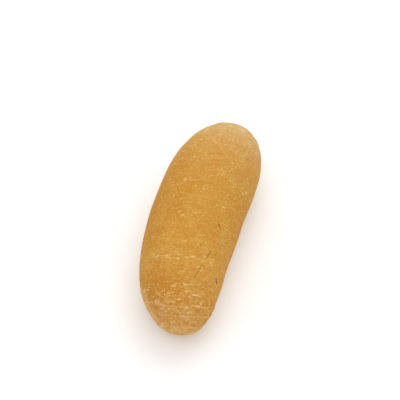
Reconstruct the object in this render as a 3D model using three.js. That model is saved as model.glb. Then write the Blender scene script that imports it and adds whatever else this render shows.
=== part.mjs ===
// Olive oil bread roll: one long soft roll, moulded from a rolled-up strip of dough and baked on its base.
// Millimetres, +Z up. The roll lies along X with its plain end at -X, and the origin is on the surface that
// it rests on, under the middle of its box.
import * as THREE from "three";
import { ImprovedNoise } from "three/addons/math/ImprovedNoise.js";
import { mergeVertices } from "three/addons/utils/BufferGeometryUtils.js";

// Driving dimensions: the box of the baked roll
const LENGTH = 132;
const WIDTH = 50;
const HEIGHT = 46;

// The body's ends. Each closes as a quarter of a superellipse.
const PLAIN_END = { closing: 94.8, roundness: 3.445 };
const CORE_END = { closing: 46.6, roundness: 2.48 };

// At the core end the core of the rolled dough stands out as a nub. The shoulder is where nub and body run
// into each other. The nub hangs down by the droop, which sets in between two distances from its tip.
const NUB = { reach: 3.5, radius: 9.65, closing: 6.5, roundness: 2, shoulder: 5 };
const DROOP = { depth: 2.95, first: 8.8, last: 1.8 };

// Section: how tall the round is for its width, and how softly it settles on the flat base
const TALLNESS = 1.12;
const SETTLED_DEPTH = 9;
const BASE_EDGE = 4;

// One side of the plain end is pressed flat. The flat's heading is in degrees from the end's own direction
// towards +Y, and its distance is from the tip. The edge is how softly the flat runs out into the round.
const PRESSED_SIDE = { heading: 38.8, fromTip: 4.4, edge: 3.5 };

// The roll bows sideways, most of all a little past its middle, and its ends lift a little off the surface
const BOW = 7.35;
const BOW_PEAK = 0.072;
const END_LIFT = 1.3;
const LIFT_POWER = 4;

// Layers of the rolled strip that show as low ledges winding round each end, between two distances from the
// tip. Each ledge moves on by several pitches in a turn. It climbs over the first part of the pitch, the
// share named rise, and runs out over the rest. The ledges waver by a part of the pitch, and come and go in
// patches.
const LEDGES = { first: 2, last: 22, pitch: 4.2, pitchesPerTurn: 3, height: 0.7, rise: 0.4 };
const LEDGE_WAVER = { size: 17, height: 0.55, seed: 2.7 };
const LEDGE_PATCH = { size: 12, height: 1, seed: 6.4 };
const PATCH_EDGE = 0.3;

// Unevenness of the risen dough
const SWELL = { size: 38, height: 0.7, seed: 28.84 };
const DIMPLE = { size: 13, height: 0.3, seed: 9.1 };

// Facets: sections round the roll, the distance between rings at the ends and along the body, and the points
// that each stretch of the outline is measured with
const SECTIONS = 48;
const END_RING_STEP = 1;
const BODY_RING_STEP = 2.4;
const END_SPAN = 24;
const OUTLINE_POINTS = 400;

const HALF_LENGTH = LENGTH / 2;
const HALF_WIDTH = WIDTH / 2;
const noise = new ImprovedNoise();

function superellipseQuarter(share, roundness) {
  const s = THREE.MathUtils.clamp(share, 0, 1);
  return Math.pow(1 - Math.pow(1 - s, roundness), 1 / roundness);
}

// The larger of two values, rounded off where they are within blend of each other
function softMax(a, b, blend) {
  const overlap = Math.max(blend - Math.abs(a - b), 0) / blend;
  return Math.max(a, b) + (overlap * overlap * blend) / 4;
}

// Half the width of a body or nub at a distance from where it starts to close
function closingHalfWidth(fromStart, fullHalfWidth, { closing, roundness }) {
  return fullHalfWidth * superellipseQuarter(fromStart / closing, roundness);
}

function halfWidth(x) {
  const fromNubTip = HALF_LENGTH - x;
  const plainEnd = closingHalfWidth(HALF_LENGTH + x, HALF_WIDTH, PLAIN_END);
  const coreEnd = closingHalfWidth(fromNubTip - NUB.reach, HALF_WIDTH, CORE_END);
  const nub = closingHalfWidth(fromNubTip, NUB.radius, NUB);
  return Math.min(plainEnd, softMax(coreEnd, nub, NUB.shoulder));
}

// Outline of the roll from tip to tip, as radius and place along the length, with rings closer at the ends
function turnedProfile() {
  const stretch = (from, to, step) => {
    const points = [];
    for (let i = 0; i <= OUTLINE_POINTS; i++) {
      const x = THREE.MathUtils.lerp(from, to, i / OUTLINE_POINTS);
      points.push(new THREE.Vector2(halfWidth(x), x));
    }
    const line = new THREE.SplineCurve(points);
    line.arcLengthDivisions = OUTLINE_POINTS;
    return line.getSpacedPoints(Math.round(line.getLength() / step));
  };
  const inner = HALF_LENGTH - END_SPAN;
  return [
    ...stretch(-HALF_LENGTH, -inner, END_RING_STEP),
    ...stretch(-inner, inner, BODY_RING_STEP).slice(1),
    ...stretch(inner, HALF_LENGTH, END_RING_STEP).slice(1),
    new THREE.Vector2(0, HALF_LENGTH),
  ];
}

function lump(point, { size, height, seed }) {
  return height * noise.noise(point.x / size + seed, point.y / size, point.z / size);
}

// Height of the ledges that the strip's edge leaves as it winds round an end
function ledge(point, turn) {
  const fromTip = HALF_LENGTH - Math.abs(point.x);
  if (fromTip < LEDGES.first || fromTip > LEDGES.last) return 0;
  const turns = turn / (2 * Math.PI);
  const wound = fromTip / LEDGES.pitch + LEDGES.pitchesPerTurn * turns + lump(point, LEDGE_WAVER);
  const share = wound - Math.floor(wound);
  const climb = Math.min(share / LEDGES.rise, (1 - share) / (1 - LEDGES.rise));
  const step = THREE.MathUtils.smoothstep(climb, 0, 1);
  const fade = Math.sin((Math.PI * (fromTip - LEDGES.first)) / (LEDGES.last - LEDGES.first));
  const patch = THREE.MathUtils.smoothstep(lump(point, LEDGE_PATCH), -PATCH_EDGE, PATCH_EDGE);
  return LEDGES.height * step * fade * patch;
}

// Sideways place of the roll's middle, at a share of its half length
function bowedMiddle(share) {
  return BOW * (1 - (share - BOW_PEAK) ** 2);
}

// Presses back what stands past the flat beside the plain end
function pressSide(point) {
  const heading = THREE.MathUtils.degToRad(PRESSED_SIDE.heading);
  const outward = new THREE.Vector3(-Math.cos(heading), Math.sin(heading), 0);
  const tip = new THREE.Vector3(-HALF_LENGTH, bowedMiddle(-1), 0);
  const past = point.clone().sub(tip).dot(outward) - PRESSED_SIDE.fromTip;
  point.addScaledVector(outward, -softMax(past, 0, PRESSED_SIDE.edge));
}

// How far the nub hangs down at a place along the length
function droopAt(x) {
  return DROOP.depth * (1 - THREE.MathUtils.smoothstep(HALF_LENGTH - x, DROOP.last, DROOP.first));
}

// Place of a point of the turned blank once the dough has risen, bowed and settled on its base
function settle(x, radius, turn) {
  const share = x / HALF_LENGTH;
  const out = new THREE.Vector3(0, Math.sin(turn), TALLNESS * Math.cos(turn));
  const point = new THREE.Vector3(x, 0, 0).addScaledVector(out, radius);
  const relief = lump(point, SWELL) + lump(point, DIMPLE) + ledge(point, turn);
  point.addScaledVector(out, relief * Math.min(radius / NUB.radius, 1));
  point.y += bowedMiddle(share);
  pressSide(point);
  const axisHeight = TALLNESS * HALF_WIDTH - SETTLED_DEPTH + END_LIFT * share ** LIFT_POWER;
  point.z = softMax(point.z + axisHeight - droopAt(x), 0, BASE_EDGE);
  return point;
}

function rollGeometry() {
  const geometry = new THREE.LatheGeometry(turnedProfile(), SECTIONS);
  geometry.rotateZ(-Math.PI / 2);
  const position = geometry.getAttribute("position");
  for (let i = 0; i < position.count; i++) {
    const blank = new THREE.Vector3().fromBufferAttribute(position, i);
    const radius = Math.hypot(blank.y, blank.z);
    const turn = Math.atan2(blank.y, blank.z);
    position.setXYZ(i, ...settle(blank.x, radius, turn));
  }
  geometry.deleteAttribute("normal");
  geometry.deleteAttribute("uv");
  const solid = mergeVertices(geometry);
  solid.computeBoundingBox();
  const size = solid.boundingBox.getSize(new THREE.Vector3());
  const middle = solid.boundingBox.getCenter(new THREE.Vector3());
  solid.translate(-middle.x, -middle.y, -solid.boundingBox.min.z);
  solid.scale(LENGTH / size.x, WIDTH / size.y, HEIGHT / size.z);
  solid.computeVertexNormals();
  return solid;
}

const crust = new THREE.MeshStandardMaterial({ color: 0xc9954a, roughness: 0.7, metalness: 0 });

const breadRoll = new THREE.Mesh(rollGeometry(), crust);
breadRoll.name = "bread_roll";

const roll = new THREE.Group();
roll.add(breadRoll);
export default roll;
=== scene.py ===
import math
import random
from functools import reduce

import bmesh
import bpy
import numpy as np
from mathutils import Color, Matrix, Vector, noise


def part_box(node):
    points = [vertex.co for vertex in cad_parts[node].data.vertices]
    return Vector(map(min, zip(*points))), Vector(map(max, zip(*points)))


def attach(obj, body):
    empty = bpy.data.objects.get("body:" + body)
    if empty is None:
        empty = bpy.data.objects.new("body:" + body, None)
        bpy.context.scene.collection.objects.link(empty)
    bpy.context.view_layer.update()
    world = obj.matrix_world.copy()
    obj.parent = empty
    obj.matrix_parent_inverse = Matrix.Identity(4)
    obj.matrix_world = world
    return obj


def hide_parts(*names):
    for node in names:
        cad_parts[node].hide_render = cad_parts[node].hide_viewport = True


# Olive oil bread roll: the crust of one long soft roll, drawn out ring by ring over the solid of the frame,
# with the fine skin, the marks in it and the crinkled base. Metres; the roll lies along X, plain end at -X.
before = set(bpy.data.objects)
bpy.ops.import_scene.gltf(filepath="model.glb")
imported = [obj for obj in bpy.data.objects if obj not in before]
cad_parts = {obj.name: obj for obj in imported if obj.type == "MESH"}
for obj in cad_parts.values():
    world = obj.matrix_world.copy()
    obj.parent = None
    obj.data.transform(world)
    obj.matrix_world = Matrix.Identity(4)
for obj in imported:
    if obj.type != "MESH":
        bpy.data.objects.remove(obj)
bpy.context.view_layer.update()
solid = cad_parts["bread_roll"]
low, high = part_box("bread_roll")
MM = 0.001

# The line through the roll's middle: its height, and the slices of the solid that its bow is measured on
AXIS_HEIGHT = 0.413 * high.z
AXIS_SPAN = 50 * MM
AXIS_SLICES = 41
HALF_SLICE = 2 * MM

# Rings of the drawn-out roll, closer together over the span of its ends
SECTIONS = 60
END_RING_STEP = 1.4 * MM
BODY_RING_STEP = 3.0 * MM
END_SPAN = 26 * MM
FIRST_RING = 0.12 * MM
PROFILE_SAMPLES = 600

# Levels of smoothing of the roll, each time, and of the form that it is wrapped onto, and how far apart the
# form's points may be to be merged
ROLL_LEVELS = 1
FORM_LEVELS = 2
DOUBLES = 0.01 * MM

# Unevenness of the skin: the size of its bumps and how far they stand, and where the base's crinkles fade
LUMPS = {"size": 9 * MM, "depth": 0.30 * MM}
PEBBLES = {"size": 2.6 * MM, "depth": 0.10 * MM}
CRINKLES = {"across": 1.5 * MM, "along": 7 * MM, "lean": math.radians(38), "depth": 0.22 * MM}
BASE_BAND = {"full": 2.5 * MM, "none": 8 * MM}

# The part of the greatest depth from which on a point of the skin is pressed in
LEAST_DEPTH = 0.001

# Layers of the rolled-up dough that show at the ends, as lips of a slanting pitch with a crease behind each.
# Up and side are the parts that height and side have in a layer's distance from the tip. Layers are counted
# from the one at the distance named nought, and the crease lies a part of the pitch behind its lip.
LAYERS = {"pitch": 6.9 * MM, "nought": 13.6 * MM, "up": 0.73, "side": 0.235, "crease": 0.14,
          "depth": 0.12 * MM}
LAYER_WAVER = {"size": 11 * MM, "height": 0.28, "seed": 3.1}
LAYER_PATCH = {"size": 8 * MM, "seed": 7.7}

# Layers show between two counts and up to a distance from the tip. They come and go in patches, but the one
# counted as nought runs nearly all the way round.
LAYER_SHOWN = {"inner": (-2.6, -1.8), "outer": (1.7, 1.2), "from_tip": (26 * MM, 20 * MM),
               "patch": (-0.05, 0.35), "in_patches": 0.7, "round": (0.5, 0.2), "all_round": 0.8}

# The skin's grain lies across the roll with a twist, as a part of the way sideways, and turns to follow the
# layers between two distances from each tip
GRAIN = {"twist": 0.30, "body": 36 * MM, "end": 20 * MM}
GRAIN_DRIFT = {"height": 2.4 * MM, "size": 14 * MM, "seed": 8.3}

# The edge of the base, a shallow groove that is fainter between its patches
BASE_EDGE = {"height": 5.6 * MM, "width": 0.7 * MM, "depth": 0.22 * MM}
BASE_EDGE_WAVER = {"height": 1.1 * MM, "size": 14 * MM, "seed": 4.4}
BASE_EDGE_PATCH = {"size": 9 * MM, "seed": 12.6, "edge": 0.3, "least": 0.35}

# Pores along the seam above the base at each end, spread over degrees to either side of the tip, and what is
# drawn for each: its place in its share of the spread, its span in degrees and how far off the seam it is
SEAM_PORES = {"count": 13, "height": 7.2 * MM, "rise": 2 * MM, "spread": 62, "from_tip": 24 * MM, "seed": 5}
PORE_DRAWS = {"place": (0.1, 0.9), "span": (0.3, 2.2), "off_seam": (-0.5 * MM, 0.5 * MM)}

# Marks in the crust. Places are distances along the roll in millimetres and turns round it in degrees, from
# the top towards +Y.
CREASE = ((-28.8, -39.2), (-33.5, -36.3), (-37.9, -32.9), (-42.3, -29.8), (-46.5, -26.3))
LONG_SLIT = ((-39.0, -63.5), (-39.6, -65.7), (-40.1, -68.0))
SHORT_SLIT = ((-12.4, -39.5), (-12.7, -40.7))
BLISTER = ((-61.1, 39.0), (-61.5, 31.4))

# Pits: distance, turn, half the width in millimetres and how pale the rim is
PITS = ((-46.7, -26.1, 0.62, 0.1), (4.0, -9.7, 0.42, 0.4),
        (-61.3, 35.0, 0.6, 0.0), (-65.0, 28.0, 0.45, 0.25))

# Larger flakes of flour: distance, turn, and half the span in degrees. They lean along the roll by a slope,
# in millimetres to the degree, and fade from the core to the edge.
FLAKES = ((-55, -33, 4.5), (-40.5, 15, 1.2), (-41, 0, 1.2), (-58.5, -46, 3), (-34, -33, 1.2),
          (-61.5, -28, 3), (-39, -10, 1), (-52.5, -16, 1.2), (-37, -18, 0.8), (-14, 10, 0.8))
FLAKE = {"slope": -0.13, "core": 0.1 * MM, "edge": 0.52 * MM}

# How the marks are cut. The crease is darker and lighter by turns, at shares of its length.
CREASE_CUT = {"half_width": 0.42 * MM, "deep": 0.3 * MM, "rim": 0.0}
CREASE_TONE = {"shares": (0, 0.2, 0.36, 0.5, 0.6, 0.9, 1),
               "darkness": (0.46, 0.5, 0.1, 0.05, 0.2, 0.2, 0.15)}
LONG_SLIT_CUT = {"half_width": 0.95 * MM, "deep": 0.4 * MM, "darkness": 0.85, "rim": 0.3}
SHORT_SLIT_CUT = {"half_width": 0.64 * MM, "deep": 0.35 * MM, "darkness": 0.72, "rim": 0.0}
PIT_CUT = {"deep": 0.35 * MM, "darkness": 0.8}
PORE_CUT = {"half_width": 0.30 * MM, "deep": 0.3 * MM, "darkness": 0.75, "rim": 0.12}
BLISTER_PALE = {"core": 0.6 * MM, "edge": 1.15 * MM}

# Parts of a cut's half width: its floor, and the middle of its rim and half of the rim's own width
CUT_FLOOR = 0.2
RIM_MIDDLE = 1.6
RIM_HALF_WIDTH = 0.9

# Faces are split up to the reach from a mark. A line on the skin has a few steps from place to place, and
# the shortest run saves a line that is only one point from a division by nought.
MARK_REACH = 1.3 * MM
LINE_STEPS = 5
SHORTEST_RUN = 0.001 * MM

# A colour shows as itself times the light, with the gloss on top
SCREEN_WHITE = 255
GLOSS = 0.015
LIGHT = 1.13


def crust_colour(red, green, blue):
    """The colour that a crust needs, to show as the one given, 0 to 255, under the light of this scene."""
    screen = Color((red / SCREEN_WHITE, green / SCREEN_WHITE, blue / SCREEN_WHITE))
    return (*((value - GLOSS) / LIGHT for value in screen.from_srgb_to_scene_linear()), 1.0)


# Colours of the crust as they show, from its golden top to the pale base, the flour and the dark marks
TOASTED = crust_colour(203, 146, 69)
GOLD = crust_colour(207, 156, 78)
# Brown of the crust, also used as painted shade on the far side, down the flanks and in the layers' creases
BROWN_AND_PAINTED_SHADE = crust_colour(188, 117, 46)
STRAW = crust_colour(228, 181, 94)
# Pale end crust, also used as painted light: sheen at the core tip and a bright flank at the plain end's
# corner
PALE_END_AND_PAINTED_LIGHT = crust_colour(215, 176, 118)
# Pale lower crust, partly painted light: bounce from the floor low down and a bright rim up the pressed side
PALE_SIDE_AND_PAINTED_LIGHT = crust_colour(224, 184, 122)
PALE_BASE = crust_colour(226, 188, 130)
# Flour, also used as a painted highlight along the layers' lips
FLOUR_AND_LIP_HIGHLIGHT = crust_colour(242, 211, 138)
CHALK = crust_colour(246, 226, 182)
SCORCHED = crust_colour(134, 66, 32)

# Areas of the crust, for its tones and flecks. Each is told by ramps along measures that CrustNodes makes.
# A ramp sets in at the first value and is full at the second, at strengths of 0 and 1 or of the values that
# follow. Measures of place are in millimetres.
AREAS = {
    # The golden crust, with its streaks and grain
    "golden": [("mottle", 0.3, 0.7)],
    "paler_core_half": [("x", 0.0, 50.0, 0.0, 0.4)],
    "streaked": [("from_tip", 8.0, 26.0, 0.15, 0.4)],
    "dark_streaks": [("streaks", 0.50, 0.25)],
    "light_streaks": [("streaks", 0.50, 0.75)],
    "grainy": [("from_middle", 6.0, 28.0, 1.0, 1.3)],
    "dark_grain": [("grain", 0.50, 0.30)],
    "light_grain": [("grain", 0.50, 0.72)],
    "far_side": [("y", 0.0, 14.0)],
    "near_side": [("y", -8.0, -22.0)],
    "dull": [("grain", 0.3, 0.75, 0.6, 0.76)],
    # Browner places; along the side and down the flank this is painted shade
    "painted_shade_side": [("y", 1.0, 14.0, 0.0, 0.2), ("x", -42.0, -16.0), ("x", 26.0, 8.0)],
    "painted_shade_flank": [("z", 42.0, 24.0), ("x", -25.0, 0.0, 0.0, 0.1)],
    "browned_end": [("x", -44.0, -60.0, 0.0, 0.3), ("x", -66.0, -63.5), ("y", -12.0, 3.0)],
    "browned_spots": [("x", -38.0, -58.0), ("patch", 0.6, 0.34, 0.05, 0.5)],
    # Paler places; low down, up the pressed side, at the corner and at the core tip they are partly painted
    # light
    "raised_ends": [("from_tip", 26.0, 4.0)],
    "pale_low_and_floor_light": [("above_pale", 13.5, 6.0, 0.0, 0.8)],
    "pale_plain_tip": [("x", -57.0, -66.0), ("patch", 0.4, 0.62, 0.22, 0.62)],
    "pale_core_tip_and_sheen": [("x", 34.0, 54.0), ("patch", 0.3, 0.6, 0.55, 0.95)],
    "pale_corner_and_painted_light": [("y", -8.0, -18.0), ("x", -50.0, -58.0, 0.0, 0.22)],
    "pale_pressed_side_and_rim_light": [("up_pressed_side", 32.5, 23.0), ("y", -6.0, 3.0),
                          ("patch", 0.3, 0.6, 0.65, 0.9)],
    # The base, and the layers at the ends, with painted shade in the crease behind each lip
    "pale_base": [("above_base", 1.6, -0.6, 0.0, 0.9)],
    "base_edge_line": [("off_base_edge", 0.5, 0.0), ("patch", 0.42, 0.65, 0.0, 0.4)],
    "lip": [("off_lip", 0.12, 0.04), ("lip_breaks", 0.40, 0.56)],
    "painted_shade_behind_lip": [("layer_share", 0.32, 0.12, 0.0, 0.3), ("layer_share", 0.04, 0.12)],
    # Where flecks lie, as the share of their cells that is filled or as a part of it
    "fleck_rows": [("row_wave", 0.55, 1.0), ("gathering", 0.36, 0.58, 0.15, 1.0),
                   ("from_middle", 8.0, 26.0, 0.55, 1.2)],
    "flecked_ends": [("from_tip", 36.0, 8.0, 0.0, 0.15)],
    "core_top": [("x", 24.0, 50.0), ("z", 24.0, 38.0, 0.2, 1.0)],
    "hairy": [("from_tip", 40.0, 8.0, 0.02, 0.22), ("x", -10.0, 10.0, 1.0, 0.4)],
    "speckled_tip": [("x", -60.0, -65.0, 0.0, 0.18)],
    "pocked": [("from_tip", 30.0, 10.0, 0.0, 0.16)],
    "chalky_end": [("x", -30.0, -56.0, 0.0, 0.35)],
}

# Unevenness of the crust's tones: its lumps to the millimetre, how many finer layers of lumps lie over them,
# and how strong those are
MOTTLE = (0.11, 2.0, 0.5)
STREAKS = (0.6, 3.0, 0.6)
FINE_GRAIN = (1.6, 5.0, 0.85)
PATCHES = (0.4, 4.0, 0.65)
GATHERING = (0.12, 2.0, 0.5)
LIP_BREAKS = (0.5, 2.0, 0.5)
SWELLS = (0.16, 3.0, 0.5)

# How far streaks and grain are drawn out across the roll, as the part of the way across that counts, and how
# much more the grain shows on the sides
STREAK_DRAW = 0.16
GRAIN_DRAW = 0.75
SIDE_CONTRAST = 0.6

# Where the crust is barest of flecks along X, and the rows across the roll that flecks lie in
BARE_MIDDLE = -8.0
ROWS = {"pitch": 24.4, "phase": 3.84}

# The pale lower crust, partly painted light from the bright floor, swells up and down, and lies higher at
# the ends. Up the pressed side it comes to a rounded peak and slopes down to both sides, by the value
# at_origin as far as the origin.
SWELL_HEIGHT = 6.0
END_RISE = 6.5
PRESSED_PEAK = {"slope": 1.1, "at_origin": 61.0, "rounding": 6.0, "swell": 0.5}

# A layer's lip is at the start of its pitch, so no point is further from one than half of it
HALF_PITCH = 0.5

# Kinds of flecks: the length and width of the cells that they lie in, in millimetres, and a seed
DASHES = {"length": 3.0, "width": 0.75, "seed": 7.9}
GRITS = {"length": 1.1, "width": 0.7, "seed": 41.3}
HAIRS = {"length": 1.3, "width": 0.6, "seed": 17.9}
SPECKS = {"length": 1.6, "width": 1.4, "seed": 29.1}
POCKS = {"length": 1.5, "width": 1.3, "seed": 53.9}

# Shares of the cells that are filled: anywhere, and more where flecks crowd, on the sides and on the core
# end's top
DASH_FILL = {"anywhere": 0.025, "crowded": 0.5}
GRIT_FILL = {"anywhere": 0.13, "crowded": 0.16, "sides": 0.14, "core_top": 0.30}
SPECK_FILL = {"core_top": 0.26}
LIP_CROWDING = 0.9

# A fleck in its cell: its least size and what may be added, the softness of its edge, and its least strength
FLECK = {"size": 0.22, "more": 0.25, "edge": 0.12, "faintest": 0.35}

# How strongly flecks, pocks and lips show in the colour; the lips' pale tone is flour and a painted
# highlight
STRENGTH = {"grits": 0.8, "hairs": 0.95, "flakes": 0.85, "flecks": 0.8, "pocks": 0.6, "lips": 0.4}

# The finest relief, of the grain with some of the flecks, and the faint shine
RELIEF = {"flecks": 0.4, "strength": 0.45, "height": 0.12 * MM}
SHINE = {"ior": 1.4, "specular": 0.05}

# Sockets of a Mix node that mixes colours
MIX_FACTOR = 0
MIX_FIRST = 6
MIX_SECOND = 7
MIX_RESULT = 2

# The plain floor, just below the roll, and the light of the white room, from the horizon to overhead
FLOOR = {"size": 6, "drop": 0.1 * MM, "colour": (0.94, 0.94, 0.94, 1), "roughness": 0.9, "specular": 0.1}
ROOM_COLOUR = (1, 1, 1, 1)
ROOM_LIGHT = (0.0, 1.0, 0.62, 1.22)
KEY_LIGHT = {"place": (0.65, -0.05, 1.0), "size": 1.0, "power": 3}
FILL_LIGHT = {"place": (-0.7, -0.1, 0.12), "size": 0.5, "power": 0.4}

# Camera at the photograph's viewing angle
CAMERA = {"azimuth": -73.13, "elevation": 54.0, "distance": 0.7068, "right": 2.0 * MM, "up": 8.3 * MM}
LENS = 120
SENSOR = 36


def work_on(piece, mode="OBJECT"):
    """Makes one piece the only selected and active one, in a mode."""
    if bpy.context.object and bpy.context.object.mode != "OBJECT":
        bpy.ops.object.mode_set(mode="OBJECT")
    bpy.ops.object.select_all(action="DESELECT")
    piece.select_set(True)
    bpy.context.view_layer.objects.active = piece
    bpy.ops.object.mode_set(mode=mode)


def finish_with(piece, kind, **settings):
    """Adds a modifier to a piece and applies it."""
    work_on(piece)
    modifier = piece.modifiers.new(kind.title(), kind)
    for name, value in settings.items():
        setattr(modifier, name, value)
    bpy.ops.object.modifier_apply(modifier=modifier.name)


def smooth(piece, levels):
    finish_with(piece, "SUBSURF", levels=levels, render_levels=levels)


def coordinates(piece):
    places = np.empty(len(piece.data.vertices) * 3)
    piece.data.vertices.foreach_get("co", places)
    return places.reshape(-1, 3)


def smooth_step(values, start, end):
    """A soft rise from 0 at the start to 1 at the end, which may be the lower of the two."""
    share = np.clip((values - start) / (end - start), 0, 1)
    return share * share * (3 - 2 * share)


def waver(places, size, seed):
    """Smooth unevenness from about -1 to 1 at each place."""
    offset = Vector((seed, -seed, 2 * seed))
    return np.array([noise.noise(Vector(place) / size + offset) for place in places])


def swing(places, height, size, seed):
    """Unevenness of a height to either side."""
    return height * waver(places, size, seed)


def distance_from_tip(places):
    """Each place's distance along X from the nearer tip."""
    return np.minimum(places[:, 0] - low.x, high.x - places[:, 0])


def measure_axis():
    """Factors of the parabola that the middle of the solid follows sideways along X."""
    places = coordinates(solid)
    stations = np.linspace(-AXIS_SPAN, AXIS_SPAN, AXIS_SLICES)
    middles = []
    for station in stations:
        ring = places[np.abs(places[:, 0] - station) < HALF_SLICE]
        middles.append((ring[:, 1].min() + ring[:, 1].max()) / 2)
    return np.polyfit(stations, middles, 2)


BOW = measure_axis()


def axis_point(x):
    return Vector((x, np.polyval(BOW, x), AXIS_HEIGHT))


def on_skin(piece, x, turn):
    """Place where a ray from the roll's axis, turned from the top towards +Y, meets a piece's skin."""
    middle = axis_point(x)
    found, place, _, _ = piece.ray_cast(middle, Vector((0, math.sin(turn), math.cos(turn))))
    return place if found else middle


def reach(x, turn):
    """Distance from the roll's axis out to the solid's skin, in the direction of a turn from the top."""
    return (on_skin(solid, x, turn) - axis_point(x)).length


def ring_at(x):
    """Middle, half width and half height of the solid at a place along it."""
    up, left, down, right = (reach(x, quarter * math.pi / 2) for quarter in range(4))
    middle = axis_point(x) + Vector((0, (left - right) / 2, (up - down) / 2))
    return middle, (left + right) / 2, (up + down) / 2


def ring_stations():
    """Places of the rings along the roll, closer together over the ends."""
    samples = np.linspace(low.x + FIRST_RING, high.x - FIRST_RING, PROFILE_SAMPLES)
    radii = np.array([reach(x, 0) for x in samples])
    steps = np.hypot(np.diff(samples), np.diff(radii))
    from_tip = np.minimum(samples - low.x, high.x - samples)[1:]
    rings = np.cumsum(steps / np.where(from_tip < END_SPAN, END_RING_STEP, BODY_RING_STEP))
    rings = np.concatenate(([0], rings))
    return np.interp(np.linspace(0, rings[-1], round(rings[-1]) + 1), rings, samples)


def draw_out_roll():
    """A disc at the plain tip, extruded ring by ring along the roll and sized to the solid at each."""
    stations = ring_stations()
    middle, half_width, half_height = ring_at(stations[0])
    bpy.ops.object.select_all(action="DESELECT")
    bpy.ops.mesh.primitive_circle_add(
        vertices=SECTIONS, radius=1, fill_type="NGON", location=middle, rotation=(0, math.pi / 2, 0))
    roll = bpy.context.object
    roll.name = roll.data.name = "roll_crust"
    bpy.ops.transform.resize(value=(1, half_width, half_height), center_override=middle)
    bpy.ops.object.transform_apply(location=True, rotation=True, scale=True)
    bpy.ops.object.mode_set(mode="EDIT")
    bpy.ops.mesh.select_all(action="SELECT")
    for x in stations[1:]:
        following, next_width, next_height = ring_at(x)
        bpy.ops.mesh.extrude_region_move(TRANSFORM_OT_translate={"value": following - middle})
        growth = (1, next_width / half_width, next_height / half_height)
        bpy.ops.transform.resize(value=growth, center_override=following)
        middle, half_width, half_height = following, next_width, next_height
    bpy.ops.mesh.select_all(action="SELECT")
    bpy.ops.mesh.normals_make_consistent(inside=False)
    close_tips(roll)
    return roll


def close_tips(roll):
    """Draws each end's disc, the only faces with more than four corners, together to a point at the tip."""
    shape = bmesh.from_edit_mesh(roll.data)
    for face in shape.faces:
        face.select = len(face.verts) > 4
    bmesh.update_edit_mesh(roll.data)
    bpy.ops.mesh.poke(offset=FIRST_RING)
    bpy.ops.object.mode_set(mode="OBJECT")


def smooth_form():
    """A smooth copy of the solid, for the roll to be wrapped onto."""
    work_on(solid)
    bpy.ops.object.duplicate()
    form = bpy.context.object
    form.name = "smooth_form"
    bpy.ops.object.mode_set(mode="EDIT")
    bpy.ops.mesh.select_all(action="SELECT")
    bpy.ops.mesh.remove_doubles(threshold=DOUBLES)
    bpy.ops.mesh.tris_convert_to_quads()
    smooth(form, FORM_LEVELS)
    return form


def wrap(roll):
    """Refines the drawn-out roll and lays it onto the smooth form of the solid."""
    form = smooth_form()
    smooth(roll, ROLL_LEVELS)
    finish_with(roll, "SHRINKWRAP", target=form, wrap_method="TARGET_PROJECT")
    smooth(roll, ROLL_LEVELS)
    bpy.data.objects.remove(form)


def weigh(piece, name, weights, least=0):
    """A vertex group of the points of a piece whose weights are over the least."""
    group = piece.vertex_groups.new(name=name)
    for index in np.flatnonzero(weights > least):
        group.add([int(index)], float(weights[index]), "REPLACE")
    return group.name


def sink(piece, name, depths):
    """Presses each point of a piece in along its normal by a depth of its own."""
    deepest = depths.max()
    group = weigh(piece, name, depths / deepest, LEAST_DEPTH)
    finish_with(piece, "DISPLACE", strength=-deepest, mid_level=0, vertex_group=group)
    piece.vertex_groups.clear()


def keep_mask(piece, name, values):
    """Stores a value for each point of a piece, for its material to read."""
    mask = piece.data.attributes.new(name, "FLOAT", "POINT")
    mask.data.foreach_set("value", values.astype(np.float32))


def cloud(name, size):
    texture = bpy.data.textures.new(name, "CLOUDS")
    texture.noise_scale = size
    texture.noise_depth = 1
    return texture


def roughen_skin(roll):
    """Low bumps all over, never outside the form that the roll was wrapped onto."""
    for name, bumps in (("lumps", LUMPS), ("pebbles", PEBBLES)):
        finish_with(roll, "DISPLACE", texture=cloud(name, bumps["size"]), texture_coords="LOCAL",
                    strength=bumps["depth"], mid_level=1)


def crinkle_base(roll):
    """Fine slanting wrinkles in the band of skin above the base."""
    height = coordinates(roll)[:, 2]
    band = weigh(roll, "base_band", smooth_step(height, BASE_BAND["none"], BASE_BAND["full"]))
    bpy.ops.object.empty_add(rotation=(0, CRINKLES["lean"], 0))
    slant = bpy.context.object
    slant.scale = (CRINKLES["across"], CRINKLES["along"], CRINKLES["along"])
    bpy.context.view_layer.update()
    finish_with(roll, "DISPLACE", texture=cloud("crinkles", 1), texture_coords="OBJECT", vertex_group=band,
                texture_coords_object=slant, strength=CRINKLES["depth"], mid_level=1)
    roll.vertex_groups.clear()
    bpy.data.objects.remove(slant)


def wind_layers(places):
    """How many pitches each place lies behind the layer of its end that is counted as nought."""
    wound = np.zeros(len(places))
    for end in (-1, 1):
        x, y, z = (places - np.array(axis_point(end * high.x))).T
        from_tip = -end * x + LAYERS["up"] * z - end * LAYERS["side"] * y
        near = end * places[:, 0] > 0
        wound[near] = (from_tip[near] - LAYERS["nought"]) / LAYERS["pitch"]
    return wound + swing(places, **LAYER_WAVER)


def show_layers(places, wound):
    """How clearly the layers show at each place, from 0 to 1."""
    fade = smooth_step(wound, *LAYER_SHOWN["inner"]) * smooth_step(wound, *LAYER_SHOWN["outer"])
    fade *= smooth_step(distance_from_tip(places), *LAYER_SHOWN["from_tip"])
    patches = smooth_step(waver(places, **LAYER_PATCH), *LAYER_SHOWN["patch"])
    round_end = smooth_step(np.abs(wound), *LAYER_SHOWN["round"])
    return fade * np.maximum(LAYER_SHOWN["in_patches"] * patches, LAYER_SHOWN["all_round"] * round_end)


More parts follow.
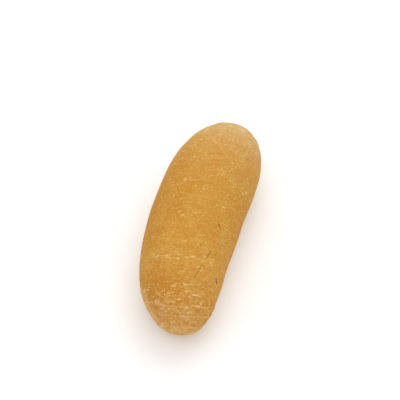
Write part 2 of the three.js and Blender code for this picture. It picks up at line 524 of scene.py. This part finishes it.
def press_layers(roll):
    """The lips of the dough's layers at both ends, and where they show, for their colour."""
    places = coordinates(roll)
    wound = wind_layers(places)
    shown = show_layers(places, wound)
    share = wound - np.floor(wound)
    profile = np.minimum(share / LAYERS["crease"], (1 - share) / (1 - LAYERS["crease"]))
    lay_grain(roll, wound)
    sink(roll, "layers", LAYERS["depth"] * shown * profile)
    keep_mask(roll, "layer_turns", wound)
    keep_mask(roll, "layer_shown", shown)


def lay_grain(roll, wound):
    """How far along the skin's grain each point lies, in millimetres, for the flecks and streaks."""
    places = coordinates(roll)
    x = places[:, 0]
    twisted = x + GRAIN["twist"] * (places[:, 1] - np.polyval(BOW, x))
    # Along the top of the roll, the distance by the layers is the one along X
    top = high.x + LAYERS["up"] * (high.z - AXIS_HEIGHT) - LAYERS["nought"]
    layered = np.sign(x) * (top - LAYERS["pitch"] * wound)
    at_end = smooth_step(distance_from_tip(places), GRAIN["body"], GRAIN["end"])
    along = twisted + at_end * (layered - twisted) + swing(places, **GRAIN_DRIFT)
    keep_mask(roll, "along_grain", along / MM)


def press_base_edge(roll):
    """The shallow groove where the crust meets the base."""
    places = coordinates(roll)
    above = places[:, 2] - BASE_EDGE["height"] - swing(places, **BASE_EDGE_WAVER)
    groove = smooth_step(np.abs(above), BASE_EDGE["width"], 0)
    patch = BASE_EDGE_PATCH
    patches = smooth_step(waver(places, patch["size"], patch["seed"]), -patch["edge"], patch["edge"])
    sink(roll, "base_edge", BASE_EDGE["depth"] * groove * (patch["least"] + (1 - patch["least"]) * patches))
    keep_mask(roll, "above_base", above / MM)


def skin_line(roll, places):
    """Points close together on the roll's skin, along a line of places given by distance and turn."""
    stretches = len(places) - 1
    steps = np.linspace(0, stretches, LINE_STEPS * stretches + 1)
    distances, turns = (np.interp(steps, range(len(places)), values) for values in zip(*places))
    return [on_skin(roll, x_mm * MM, math.radians(degrees)) for x_mm, degrees in zip(distances, turns)]


def distance_to_line(places, line):
    """Each place's distance from a line of points."""
    nearest = np.full(len(places), np.inf)
    for start, end in zip(line, line[1:]):
        run = np.array(end) - np.array(start)
        from_start = places - np.array(start)
        share = np.clip((from_start @ run) / max(run @ run, SHORTEST_RUN ** 2), 0, 1)
        nearest = np.minimum(nearest, np.linalg.norm(from_start - share[:, None] * run, axis=1))
    return nearest


def seam_pores(roll):
    """Short lines of pores along the seam low on each end."""
    draw = random.Random(SEAM_PORES["seed"])
    pores = []
    for end in (-1, 1):
        inner = axis_point(end * (high.x - SEAM_PORES["from_tip"]))
        for number in range(SEAM_PORES["count"]):
            share = (number + draw.uniform(*PORE_DRAWS["place"])) / SEAM_PORES["count"]
            angle = math.radians(SEAM_PORES["spread"]) * (2 * share - 1)
            span = math.radians(draw.uniform(*PORE_DRAWS["span"]))
            off_seam = draw.uniform(*PORE_DRAWS["off_seam"])
            inner.z = SEAM_PORES["height"] + off_seam + SEAM_PORES["rise"] * math.cos(angle)
            ends = []
            for bearing in (angle, angle + span):
                direction = Vector((end * math.cos(bearing), math.sin(bearing), 0))
                ends.append(roll.ray_cast(inner, direction)[1])
            pores.append(ends)
    return pores


def flake_lines(roll):
    """The lines that the larger flakes of flour lie along, in the direction of the grain."""
    lines = []
    for x_mm, degrees, span in FLAKES:
        shift = FLAKE["slope"] * span
        lines.append(skin_line(roll, ((x_mm - shift, degrees - span), (x_mm + shift, degrees + span))))
    return lines


def refine(roll, lines):
    """Splits the faces round some lines twice, so that fine marks can be cut into them."""
    for reach_round in (MARK_REACH, MARK_REACH / 2):
        places = coordinates(roll)
        near = np.zeros(len(places), bool)
        for line in lines:
            near |= distance_to_line(places, line) < reach_round
        work_on(roll, "EDIT")
        bpy.ops.mesh.select_mode(type="VERT")
        bpy.ops.mesh.select_all(action="DESELECT")
        bpy.ops.object.mode_set(mode="OBJECT")
        roll.data.vertices.foreach_set("select", near)
        bpy.ops.object.mode_set(mode="EDIT")
        bpy.ops.mesh.select_mode(type="FACE")
        bpy.ops.mesh.subdivide(number_cuts=1, smoothness=0)
        bpy.ops.object.mode_set(mode="OBJECT")


class Marks:
    """The depth, the dark and the pale that marks give to each point of the roll, and the flour on it."""

    def __init__(self, places):
        self.places = places
        self.depth, self.dark, self.pale, self.flour = np.zeros((4, len(places)))

    def cut(self, line, half_width, deep, darkness, rim):
        """Cuts a mark along a line, dark inside and with a pale rim."""
        away = distance_to_line(self.places, line)
        opened = smooth_step(away, half_width, CUT_FLOOR * half_width)
        off_rim = np.abs(away - RIM_MIDDLE * half_width)
        self.depth = np.maximum(self.depth, deep * opened)
        self.dark = np.maximum(self.dark, darkness * opened)
        self.pale = np.maximum(self.pale, rim * smooth_step(off_rim, RIM_HALF_WIDTH * half_width, 0))

    def cut_crease(self, line):
        """Cuts the crease, with the darkness that it has along its length."""
        along = (line[0].x - self.places[:, 0]) / (line[0].x - line[-1].x)
        darkness = np.interp(along, CREASE_TONE["shares"], CREASE_TONE["darkness"])
        self.cut(line, darkness=darkness, **CREASE_CUT)

    def spread(self, line, core, edge):
        """How much of what lies along a line each point has, all in the core and none at the edge."""
        return smooth_step(distance_to_line(self.places, line), edge, core)


def cut_marks(roll):
    """The crease, slits, pits, pores, blister and flakes, as relief and as masks for their colour."""
    crease, long_slit, short_slit, blister = (
        skin_line(roll, places) for places in (CREASE, LONG_SLIT, SHORT_SLIT, BLISTER))
    pits = [skin_line(roll, (pit[:2], pit[:2])) for pit in PITS]
    pores = seam_pores(roll)
    flakes = flake_lines(roll)
    refine(roll, [crease, long_slit, short_slit, blister, *pits, *pores, *flakes])
    marks = Marks(coordinates(roll))
    marks.cut_crease(crease)
    marks.cut(long_slit, **LONG_SLIT_CUT)
    marks.cut(short_slit, **SHORT_SLIT_CUT)
    for line, (_, _, half_width_mm, rim) in zip(pits, PITS):
        marks.cut(line, half_width_mm * MM, rim=rim, **PIT_CUT)
    for line in pores:
        marks.cut(line, **PORE_CUT)
    marks.pale = np.maximum(marks.pale, marks.spread(blister, **BLISTER_PALE))
    for line in flakes:
        marks.flour = np.maximum(marks.flour, marks.spread(line, FLAKE["core"], FLAKE["edge"]))
    sink(roll, "marks", marks.depth)
    keep_mask(roll, "flakes", marks.flour)
    keep_mask(roll, "mark_dark", marks.dark)
    keep_mask(roll, "mark_pale", marks.pale * (1 - marks.dark))


class Nodes:
    """Adds shader nodes, wired by what each input is given: a value or another node's output."""

    def __init__(self, tree):
        self.tree = tree

    def add(self, kind, inputs=None, **settings):
        node = self.tree.nodes.new(kind)
        for name, value in settings.items():
            setattr(node, name, value)
        for name, value in (inputs or {}).items():
            self.give(node.inputs[name], value)
        return node

    def give(self, socket, value):
        if isinstance(value, bpy.types.NodeSocket):
            self.tree.links.new(value, socket)
        else:
            socket.default_value = value

    def math(self, operation, *values):
        node = self.add("ShaderNodeMath", operation=operation)
        for socket, value in zip(node.inputs, values):
            self.give(socket, value)
        return node.outputs[0]

    def product(self, *values):
        return reduce(lambda first, second: self.math("MULTIPLY", first, second), values)

    def greatest(self, *values):
        return reduce(lambda first, second: self.math("MAXIMUM", first, second), values)

    def plus(self, base, value, factor=1.0):
        """A base and a value times a factor."""
        return self.math("MULTIPLY_ADD", value, factor, base)

    def ramp(self, value, start, end, at_start=0.0, at_end=1.0):
        """A smooth mask over a value, from one strength at the start to another at the end."""
        inputs = {"Value": value, "From Min": start, "From Max": end, "To Min": at_start, "To Max": at_end}
        node = self.add("ShaderNodeMapRange", inputs, interpolation_type="SMOOTHSTEP", clamp=True)
        return node.outputs["Result"]

    def mix(self, mask, first, second):
        """The first colour, and the second where the mask is."""
        inputs = {MIX_FACTOR: mask, MIX_FIRST: first, MIX_SECOND: second}
        return self.add("ShaderNodeMix", inputs, data_type="RGBA", clamp_factor=True).outputs[MIX_RESULT]

    def vector(self, x, y, z):
        return self.add("ShaderNodeCombineXYZ", {"X": x, "Y": y, "Z": z}).outputs[0]

    def noise(self, vector, scale, detail, roughness):
        inputs = {"Vector": vector, "Scale": scale, "Detail": detail, "Roughness": roughness}
        return self.add("ShaderNodeTexNoise", inputs).outputs["Fac"]

    def attribute(self, name):
        return self.add("ShaderNodeAttribute", attribute_name=name).outputs["Fac"]


class CrustNodes(Nodes):
    """Nodes of the crust's material, with the measures that its areas are told by."""

    def __init__(self, tree):
        super().__init__(tree)
        self.measure_places()
        self.measure_skin()
        self.measure_paling()
        self.measure_layers()
        self.sides = self.greatest(self.area("far_side"), self.area("near_side"))
        self.core_top = self.area("core_top")

    def measure_places(self):
        """Places on the roll in millimetres, and distances from its tips, its bare middle and its base."""
        object_place = self.add("ShaderNodeTexCoord").outputs["Object"]
        scaled = self.add("ShaderNodeVectorMath", {0: object_place, "Scale": 1 / MM}, operation="SCALE")
        self.place = scaled.outputs[0]
        self.x, self.y, self.z = self.add("ShaderNodeSeparateXYZ", {0: self.place}).outputs
        self.from_tip = self.math("SUBTRACT", high.x / MM, self.math("ABSOLUTE", self.x))
        self.from_middle = self.math("ABSOLUTE", self.math("SUBTRACT", self.x, BARE_MIDDLE))
        self.above_base = self.attribute("above_base")
        self.off_base_edge = self.math("ABSOLUTE", self.above_base)

    def measure_skin(self):
        """The unevenness of the skin: its mottling, and what lies along the grain."""
        self.along = self.attribute("along_grain")
        self.mottle = self.noise(self.place, *MOTTLE)
        self.streaks = self.noise(self.drawn_out(STREAK_DRAW), *STREAKS)
        on_grain = self.drawn_out(GRAIN_DRAW)
        self.grain = self.noise(on_grain, *FINE_GRAIN)
        self.patch = self.noise(on_grain, *PATCHES)
        self.gathering = self.noise(on_grain, *GATHERING)
        row_angle = self.plus(ROWS["phase"], self.along, 2 * math.pi / ROWS["pitch"])
        self.row_wave = self.math("COSINE", row_angle)

    def measure_paling(self):
        """Heights over the pale lower crust, partly painted light: all round, and up the pressed side of the
        plain end.
        """
        swell = self.plus(-SWELL_HEIGHT / 2, self.noise(self.place, *SWELLS), SWELL_HEIGHT)
        self.above_pale = self.plus(self.plus(swell, self.area("raised_ends"), -END_RISE), self.z)
        inward = self.plus(PRESSED_PEAK["at_origin"], self.x, PRESSED_PEAK["slope"])
        from_peak = self.math("SMOOTH_MAX", inward, self.product(inward, -1.0), PRESSED_PEAK["rounding"])
        self.up_pressed_side = self.plus(self.plus(from_peak, self.z), swell, PRESSED_PEAK["swell"])

    def measure_layers(self):
        """How far into the pitch of the layers a point is, how far from a lip, and the lips as they show."""
        self.layer_shown = self.attribute("layer_shown")
        self.layer_share = self.math("FRACT", self.attribute("layer_turns"))
        self.off_lip = self.math("PINGPONG", self.layer_share, HALF_PITCH)
        self.lip_breaks = self.noise(self.place, *LIP_BREAKS)
        self.lips = self.product(self.area("lip"), self.layer_shown)

    def drawn_out(self, part):
        """Places along the grain, drawn out across the roll."""
        return self.vector(self.along, self.product(self.y, part), self.product(self.z, part))

    def area(self, name):
        """The mask of an area of the crust."""
        return self.product(*(self.ramp(getattr(self, measure), *span) for measure, *span in AREAS[name]))

    def flecks(self, density, length, width, seed):
        """Short strokes across the grain, each in a cell of its own, with a share of the cells filled."""
        cells = self.vector(self.math("ADD", self.math("DIVIDE", self.along, width), seed),
                            self.math("DIVIDE", self.y, length), self.math("DIVIDE", self.z, length))
        cell = self.add("ShaderNodeTexVoronoi", {"Vector": cells, "Scale": 1.0, "Randomness": 1.0},
                        voronoi_dimensions="3D", feature="F1")
        draws = self.add("ShaderNodeSeparateColor", {"Color": cell.outputs["Color"]}).outputs
        filled = self.math("LESS_THAN", draws["Red"], density)
        size = self.plus(FLECK["size"], draws["Green"], FLECK["more"])
        outside = self.math("SUBTRACT", cell.outputs["Distance"], size)
        strength = self.plus(FLECK["faintest"], draws["Blue"], 1 - FLECK["faintest"])
        return self.product(self.ramp(outside, FLECK["edge"], -FLECK["edge"]), filled, strength)


def patterned(crust, colour, pattern, strength):
    """A colour that a pattern of the skin browns and lightens."""
    colour = crust.mix(crust.product(crust.area("dark_" + pattern), strength), colour, BROWN_AND_PAINTED_SHADE)
    return crust.mix(crust.product(crust.area("light_" + pattern), strength), colour, STRAW)


def golden_tone(crust):
    """Mottled gold, paler over the half of the core end, with streaks and fine grain across the roll."""
    colour = crust.mix(crust.area("golden"), TOASTED, GOLD)
    colour = crust.mix(crust.area("paler_core_half"), colour, PALE_END_AND_PAINTED_LIGHT)
    colour = patterned(crust, colour, "streaks", crust.area("streaked"))
    contrast = crust.plus(crust.area("grainy"), crust.sides, SIDE_CONTRAST)
    return patterned(crust, colour, "grain", contrast)


def browner_and_painted_shade_tone(crust, colour):
    """Painted shade along the far side and down the flanks of the core half, and browner crust at the plain
    end.
    """
    shade_and_browned = [crust.area(name) for name in ("painted_shade_side", "painted_shade_flank", "browned_end")]
    return crust.mix(crust.greatest(*shade_and_browned), colour, BROWN_AND_PAINTED_SHADE)


def paler_and_painted_light_tone(crust, colour):
    """The pale lower crust, tips and pressed side, with browned spots at the plain end. The pale tones are
    partly painted light: bounce from the floor low down, a bright rim at the plain end's flanks and sheen at
    the core tip.
    """
    colour = crust.mix(crust.area("pale_low_and_floor_light"), colour, PALE_SIDE_AND_PAINTED_LIGHT)
    tips = [crust.area(name) for name in ("pale_plain_tip", "pale_core_tip_and_sheen", "pale_corner_and_painted_light")]
    colour = crust.mix(crust.greatest(*tips), colour, PALE_END_AND_PAINTED_LIGHT)
    colour = crust.mix(crust.area("pale_pressed_side_and_rim_light"), colour, PALE_SIDE_AND_PAINTED_LIGHT)
    return crust.mix(crust.area("browned_spots"), colour, BROWN_AND_PAINTED_SHADE)


def base_tone(crust, colour):
    """The pale base, with a broken dark line along its edge."""
    colour = crust.mix(crust.area("pale_base"), colour, PALE_BASE)
    return crust.mix(crust.area("base_edge_line"), colour, SCORCHED)


def layer_tone(crust, colour):
    """Painted shade in the creases of the layers, and floury lips in front of them with a painted highlight.
    """
    colour = crust.mix(crust.product(crust.area("painted_shade_behind_lip"), crust.layer_shown), colour, BROWN_AND_PAINTED_SHADE)
    return crust.mix(crust.product(crust.lips, STRENGTH["lips"]), colour, FLOUR_AND_LIP_HIGHLIGHT)


def flour_flecks(crust):
    """Flecks of flour: dashes in rows, grits all over, hairs and specks at the ends, and larger flakes."""
    crowding = crust.greatest(crust.area("fleck_rows"), crust.area("flecked_ends"),
                              crust.product(crust.lips, LIP_CROWDING))
    dashes = crust.flecks(crust.plus(DASH_FILL["anywhere"], crowding, DASH_FILL["crowded"]), **DASHES)
    gritty = crust.plus(GRIT_FILL["anywhere"], crust.sides, GRIT_FILL["sides"])
    gritty = crust.plus(gritty, crust.core_top, GRIT_FILL["core_top"])
    grits = crust.flecks(crust.plus(gritty, crowding, GRIT_FILL["crowded"]), **GRITS)
    hairs = crust.flecks(crust.area("hairy"), **HAIRS)
    speckled = crust.plus(crust.area("speckled_tip"), crust.core_top, SPECK_FILL["core_top"])
    specks = crust.flecks(speckled, **SPECKS)
    return crust.greatest(dashes, crust.product(grits, STRENGTH["grits"]),
                          crust.product(hairs, STRENGTH["hairs"]), specks,
                          crust.product(crust.attribute("flakes"), STRENGTH["flakes"]))


def fleck_tone(crust, colour, flecks):
    """Browned pocks at the ends, and the flecks of flour, chalkier towards the tips."""
    pocks = crust.flecks(crust.area("pocked"), **POCKS)
    colour = crust.mix(crust.product(pocks, STRENGTH["pocks"]), colour, BROWN_AND_PAINTED_SHADE)
    flour = crust.mix(crust.greatest(crust.core_top, crust.area("chalky_end")), FLOUR_AND_LIP_HIGHLIGHT, CHALK)
    return crust.mix(crust.product(flecks, STRENGTH["flecks"]), colour, flour)


def mark_tone(crust, colour):
    """The pale rims and the dark inside of the marks."""
    colour = crust.mix(crust.attribute("mark_pale"), colour, PALE_BASE)
    return crust.mix(crust.attribute("mark_dark"), colour, SCORCHED)


def crust_material():
    material = bpy.data.materials.new("golden_crust")
    material.use_nodes = True
    tree = material.node_tree
    tree.nodes.clear()
    crust = CrustNodes(tree)
    colour = golden_tone(crust)
    for tone in (browner_and_painted_shade_tone, paler_and_painted_light_tone, base_tone, layer_tone):
        colour = tone(crust, colour)
    flecks = flour_flecks(crust)
    colour = mark_tone(crust, fleck_tone(crust, colour, flecks))
    height = crust.plus(crust.grain, flecks, RELIEF["flecks"])
    bump = crust.add("ShaderNodeBump", {
        "Strength": RELIEF["strength"], "Distance": RELIEF["height"], "Height": height})
    shader = crust.add("ShaderNodeBsdfPrincipled", {
        "Base Color": colour, "Roughness": crust.area("dull"), "IOR": SHINE["ior"],
        "Specular IOR Level": SHINE["specular"], "Normal": bump.outputs[0]})
    output = crust.add("ShaderNodeOutputMaterial")
    tree.links.new(shader.outputs[0], output.inputs["Surface"])
    return material


def make_roll():
    roll = draw_out_roll()
    wrap(roll)
    roughen_skin(roll)
    press_layers(roll)
    press_base_edge(roll)
    crinkle_base(roll)
    cut_marks(roll)
    work_on(roll)
    bpy.ops.object.shade_smooth()
    roll.data.materials.clear()
    roll.data.materials.append(crust_material())
    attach(roll, "root")
    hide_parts("bread_roll")


def floor_material():
    material = bpy.data.materials.new("pale_floor")
    material.use_nodes = True
    shader = material.node_tree.nodes["Principled BSDF"]
    shader.inputs["Base Color"].default_value = FLOOR["colour"]
    shader.inputs["Roughness"].default_value = FLOOR["roughness"]
    shader.inputs["Specular IOR Level"].default_value = FLOOR["specular"]
    return material


def make_stage():
    bpy.ops.object.select_all(action="DESELECT")
    bpy.ops.mesh.primitive_plane_add(size=FLOOR["size"], location=(0, 0, -FLOOR["drop"]))
    floor = bpy.context.object
    floor.name = "floor"
    floor.data.materials.append(floor_material())


def soft_light(name, place, size, power):
    """A round lamp that shines at the origin."""
    bpy.ops.object.light_add(type="AREA", location=place)
    light = bpy.context.object
    light.name = name
    light.data.shape = "DISK"
    light.data.size = size
    light.data.energy = power
    light.rotation_euler = (-Vector(place)).to_track_quat("-Z", "Y").to_euler()


def make_light():
    """A white room, brighter overhead, with two soft lamps."""
    world = bpy.data.worlds.new("white_room")
    world.use_nodes = True
    nodes = Nodes(world.node_tree)
    background = world.node_tree.nodes["Background"]
    direction = nodes.add("ShaderNodeTexCoord").outputs["Generated"]
    upward = nodes.add("ShaderNodeSeparateXYZ", {0: direction}).outputs["Z"]
    nodes.give(background.inputs["Strength"], nodes.ramp(upward, *ROOM_LIGHT))
    nodes.give(background.inputs["Color"], ROOM_COLOUR)
    bpy.context.scene.world = world
    soft_light("key", **KEY_LIGHT)
    soft_light("fill", **FILL_LIGHT)


def make_camera():
    azimuth, elevation = math.radians(CAMERA["azimuth"]), math.radians(CAMERA["elevation"])
    back = Vector((math.sin(azimuth) * math.cos(elevation), -math.cos(azimuth) * math.cos(elevation),
                   math.sin(elevation)))
    right = Vector((math.cos(azimuth), math.sin(azimuth), 0))
    up = back.cross(right)
    middle = (low + high) / 2
    place = middle + back * CAMERA["distance"] + right * CAMERA["right"] + up * CAMERA["up"]
    bpy.ops.object.camera_add(location=place, rotation=Matrix((right, up, back)).transposed().to_euler())
    camera = bpy.context.object
    camera.data.lens = LENS
    camera.data.sensor_width = SENSOR
    bpy.context.scene.camera = camera


make_camera()
make_roll()
make_stage()
make_light()
bpy.context.scene.view_settings.view_transform = "Standard"
